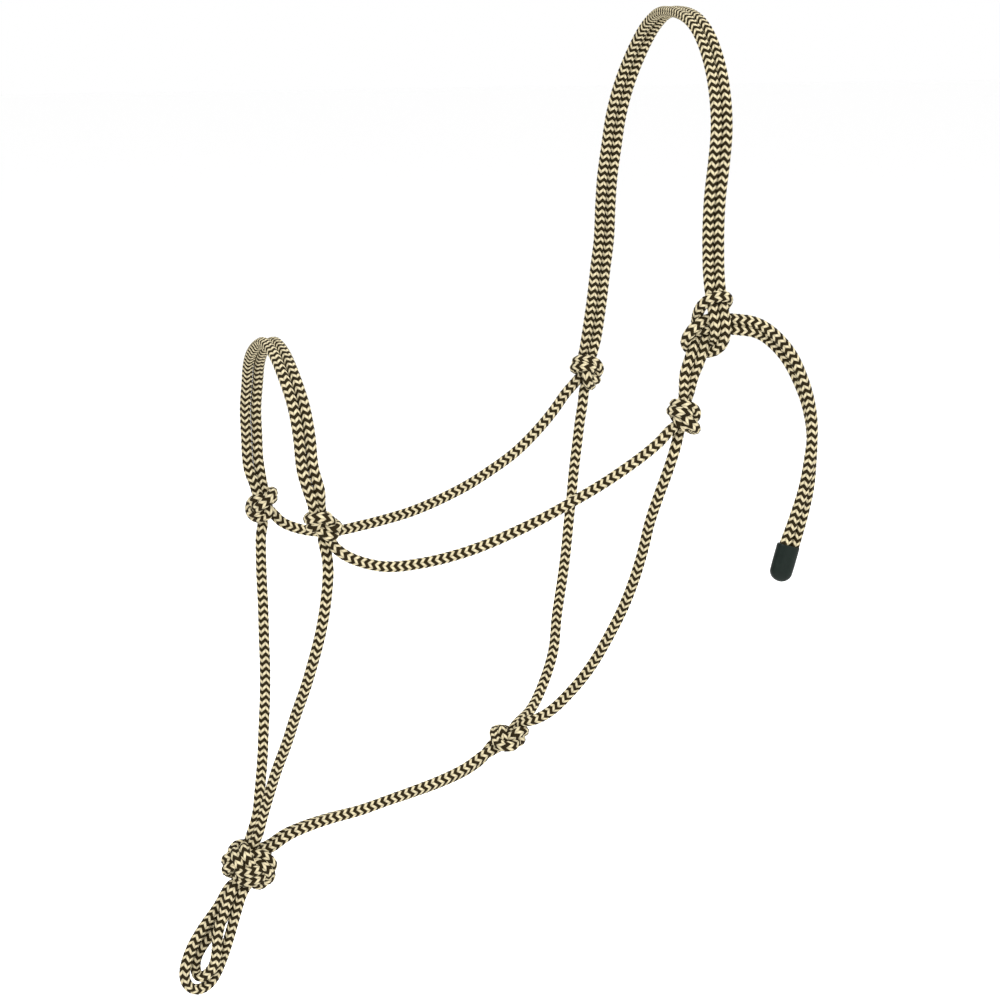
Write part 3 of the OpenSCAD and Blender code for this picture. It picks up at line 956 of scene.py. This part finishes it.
class HALTER_OT_side_ropes(bpy.types.Operator):
    """The cheek, throat and chin cords of both sides."""
    bl_idname = "halter.side_ropes"
    bl_label = "Side ropes"

    def execute(self, context):
        for side in ("near", "off"):
            cheek, nose = "cheek_knot_" + side, "nose_knot_" + side
            names = ("cheek_rope_", "throat_rope_", "chin_rope_")
            cheek_rope, throat_rope, chin_rope = (route(name + side) for name in names)
            bends = {
                "cheek_rope_" + side: ("crown", "face", toward(cheek, cheek_rope[-4], 14 * MM, 75 * MM), True),
                "throat_lead_" + side: ("crown", "face", toward(cheek, throat_rope[2], 14 * MM, 38 * MM), False),
                "throat_rope_" + side: ("face", "throat", toward(cheek, throat_rope[5], 40 * MM, 80 * MM), True),
                "chin_rope_" + side: ("face", "chin", toward(nose, chin_rope[3], 14 * MM, 64 * MM), True),
            }
            for name, (a, b, (start, end), whole) in bends.items():
                piece = braided_piece(name)
                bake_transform(piece)
                if whole:
                    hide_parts(name)
                    declare_cord(name)
        return {"FINISHED"}


class HALTER_OT_jaw(bpy.types.Operator):
    """Two cords under the jaw, and the two cords of the lead loop."""
    bl_idname = "halter.jaw"
    bl_label = "Jaw and lead loop"

    def execute(self, context):
        loop_way = loop_route("lead_loop_outer")[7]
        bends = {
            "jaw_strand_near": ("throat", "jaw", toward("throat_knot", route("jaw")[3], 14 * MM, 60 * MM)),
            "jaw_strand_off": ("throat", "jaw", toward("throat_knot", route("jaw")[3], 14 * MM, 60 * MM)),
            "lead_loop_outer": ("jaw", "lead_loop", toward("fiador_knot", loop_way, 10 * MM, 50 * MM)),
            "lead_loop_inner": ("jaw", "lead_loop", toward("fiador_knot", loop_way, 10 * MM, 50 * MM)),
        }
        for name, (a, b, (start, end)) in bends.items():
            piece = braided_piece(name)
            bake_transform(piece)
            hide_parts(name)
            declare_cord(name)
        return {"FINISHED"}


def end_cap_mesh():
    """A flattened rubber sleeve shrunk over both cords, with a rounded tip."""
    s = sizes()
    tip = np.array(TAIL_TIP)
    mouth_way = unit(np.array(ROUTES["tail"][-1]) - tip)
    wide = unit(np.cross(mouth_way, Y))
    deep = np.cross(mouth_way, wide)
    sides = 64
    turn = np.linspace(0, 2 * np.pi, sides, endpoint=False)
    # The rounded tip's share of the length; then heights as such shares, and how full the section is there.
    tip_share = 0.27
    rings = []
    for share in np.linspace(0, 1, 12):
        a = 0.5 * np.pi * share
        rings.append((tip_share * (1 - np.cos(a)), np.sin(a)))
    rings += [(h, 1.0) for h in np.linspace(tip_share + 0.04, 0.97, 14)]
    rings += [(0.985, 0.985), (0.996, 0.95), (1.0, 0.9), (0.985, 0.85), (0.93, 0.8)]
    verts = []
    for height, full in rings:
        taper = 0.96 + 0.04 * min(height / 0.5, 1)
        w = 0.5 * s.cap_width * taper * full
        d = 0.5 * s.cap_depth * taper * full ** (0.8 if height < tip_share else 1)
        # Two cords inside show as a slight waist along each flat.
        c, n = np.cos(turn), np.sin(turn)
        power = 2 / 2.5
        x = w * np.sign(c) * np.abs(c) ** power
        y = d * np.sign(n) * np.abs(n) ** power * (1 - 0.07 * np.exp(-(c / 0.3) ** 2) * min(height / 0.3, 1))
        verts += (tip + mouth_way * height * s.cap_length + x[:, None] * wide + y[:, None] * deep).tolist()
    faces = []
    for r in range(len(rings) - 1):
        for k in range(sides):
            a, b = r * sides + k, r * sides + (k + 1) % sides
            faces.append((a, b, b + sides, a + sides))
    faces.append(tuple(range((len(rings) - 1) * sides, len(rings) * sides)))
    mesh = bpy.data.meshes.new("rubber_end_cap")
    mesh.from_pydata(verts, [], faces)
    work = bmesh.new()
    work.from_mesh(mesh)
    bmesh.ops.remove_doubles(work, verts=work.verts, dist=0.02 * MM)
    bmesh.ops.recalc_face_normals(work, faces=work.faces)
    work.to_mesh(mesh)
    work.free()
    mesh.shade_smooth()
    return mesh


def end_cap_material():
    """Dark moulded rubber with a faint mottle and soft gloss."""
    material = bpy.data.materials.new("end_cap_rubber")
    material.use_nodes = True
    tree = material.node_tree
    new, join, sums = tree.nodes.new, tree.links.new, Sums(tree)
    shader = tree.nodes["Principled BSDF"]
    where = new("ShaderNodeTexCoord")
    grain = new("ShaderNodeTexNoise")
    grain.inputs["Scale"].default_value = 2600
    grain.inputs["Detail"].default_value = 2
    mottle = new("ShaderNodeTexNoise")
    mottle.inputs["Scale"].default_value = 240
    for node in (grain, mottle):
        join(where.outputs["Object"], node.inputs["Vector"])
    tint = new("ShaderNodeVectorMath")
    tint.operation = "SCALE"
    tint.inputs[0].default_value = colours().cap
    join(sums("ADD", 0.7, sums("MULTIPLY", mottle.outputs["Fac"], 0.7)), tint.inputs["Scale"])
    join(tint.outputs[0], shader.inputs["Base Color"])
    join(sums("ADD", 0.28, sums("MULTIPLY", mottle.outputs["Fac"], 0.22)), shader.inputs["Roughness"])
    shader.inputs["Specular IOR Level"].default_value = 0.12
    bump = new("ShaderNodeBump")
    bump.inputs["Strength"].default_value = 0.25
    bump.inputs["Distance"].default_value = 0.1 * MM
    join(sums("ADD", grain.outputs["Fac"], sums("MULTIPLY", mottle.outputs["Fac"], 2.0)), bump.inputs["Height"])
    join(bump.outputs["Normal"], shader.inputs["Normal"])
    return material


class HALTER_OT_tail(bpy.types.Operator):
    """The two free cords below the tie knot, and the rubber cap on their ends."""
    bl_idname = "halter.tail"
    bl_label = "Tail and end cap"

    def execute(self, context):
        cap = keep_object("rubber_end_cap", end_cap_mesh())
        cap.data.materials.append(end_cap_material())
        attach(cap, "tail")
        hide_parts("tail_end_cap")
        for name in ("tail_strand_front", "tail_strand_rear"):
            piece = braided_piece(name)
            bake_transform(piece)
            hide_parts(name)
            declare_cord(name, far_end="fitting")
        return {"FINISHED"}


# == Stage

class HALTER_OT_stage(bpy.types.Operator):
    """Pale floor, soft studio light and the camera."""
    bl_idname = "halter.stage"
    bl_label = "Stage"

    def execute(self, context):
        scene = context.scene
        low = CAD_BOX[0][2]
        middle = Vector((-0.107, 0, -0.279))
        azimuth, elevation, distance, view_width = np.radians(-18), np.radians(9.5), 2.0, 1000 * 0.585 * MM
        back = Vector((np.sin(azimuth) * np.cos(elevation), -np.cos(azimuth) * np.cos(elevation), np.sin(elevation)))
        lens = bpy.data.cameras.new("camera")
        lens.sensor_width = 36
        lens.lens = 36 * distance / view_width
        camera = bpy.data.objects.new("camera", lens)
        camera.location = middle + back * distance
        camera.rotation_euler = back.to_track_quat("Z", "Y").to_euler()
        scene.collection.objects.link(camera)
        scene.camera = camera

        floor_mesh = bpy.data.meshes.new("floor")
        reach = 14.0
        corners = ((-1, -1), (1, -1), (1, 1), (-1, 1))
        floor_mesh.from_pydata([(x * reach, y * reach, low - FLOOR_DROP) for x, y in corners], [], [(0, 1, 2, 3)])
        floor = keep_object("floor", floor_mesh)
        pale = bpy.data.materials.new("floor")
        pale.use_nodes = True
        shader = pale.node_tree.nodes["Principled BSDF"]
        shader.inputs["Base Color"].default_value = (*colours().floor, 1)
        shader.inputs["Roughness"].default_value = 0.9
        floor_mesh.materials.append(pale)

        for name, place, size, power in (("key", (-1.1, -2.2, 1.9), 1.8, 62), ("fill", (1.9, -1.6, 0.9), 2.0, 26),
                                         ("back", (0.6, 2.0, 1.8), 1.8, 30), ("top", (-0.1, -0.1, 2.4), 2.0, 22)):
            light = bpy.data.lights.new(name, "AREA")
            light.shape = "DISK"
            light.size = size
            light.energy = power
            lamp = bpy.data.objects.new(name, light)
            lamp.location = middle + Vector(place)
            lamp.rotation_euler = Vector(place).to_track_quat("Z", "Y").to_euler()
            scene.collection.objects.link(lamp)
        world = bpy.data.worlds.new("studio")
        world.use_nodes = True
        world.node_tree.nodes["Background"].inputs["Color"].default_value = (1, 1, 1, 1)
        world.node_tree.nodes["Background"].inputs["Strength"].default_value = 1.0
        scene.world = world
        scene.view_settings.view_transform = "Standard"
        return {"FINISHED"}


class HALTER_PT_panel(bpy.types.Panel):
    """Buttons and sizes for the rope halter."""
    bl_idname = "HALTER_PT_panel"
    bl_label = "Rope Halter"
    bl_space_type = "VIEW_3D"
    bl_region_type = "UI"
    bl_category = "Halter"

    def draw(self, context):
        for operator in OPERATORS:
            self.layout.operator(operator.bl_idname)
        for group in (context.scene.halter_sizes, context.scene.halter_colours):
            for name in group.__annotations__:
                self.layout.prop(group, name)


OPERATORS = (HALTER_OT_stage, HALTER_OT_tail, HALTER_OT_crown, HALTER_OT_knots, HALTER_OT_noseband,
             HALTER_OT_side_ropes, HALTER_OT_jaw)
CLASSES = (HalterSizes, HalterColours) + OPERATORS + (HALTER_PT_panel,)


def register():
    for cls in CLASSES:
        bpy.utils.register_class(cls)
    bpy.types.Scene.halter_sizes = PointerProperty(type=HalterSizes)
    bpy.types.Scene.halter_colours = PointerProperty(type=HalterColours)


def unregister():
    del bpy.types.Scene.halter_sizes
    del bpy.types.Scene.halter_colours
    for cls in reversed(CLASSES):
        bpy.utils.unregister_class(cls)


def main():
    register()
    for operator in OPERATORS:
        group, name = operator.bl_idname.split(".")
        getattr(getattr(bpy.ops, group), name)()


if __name__ == "__main__":
    main()
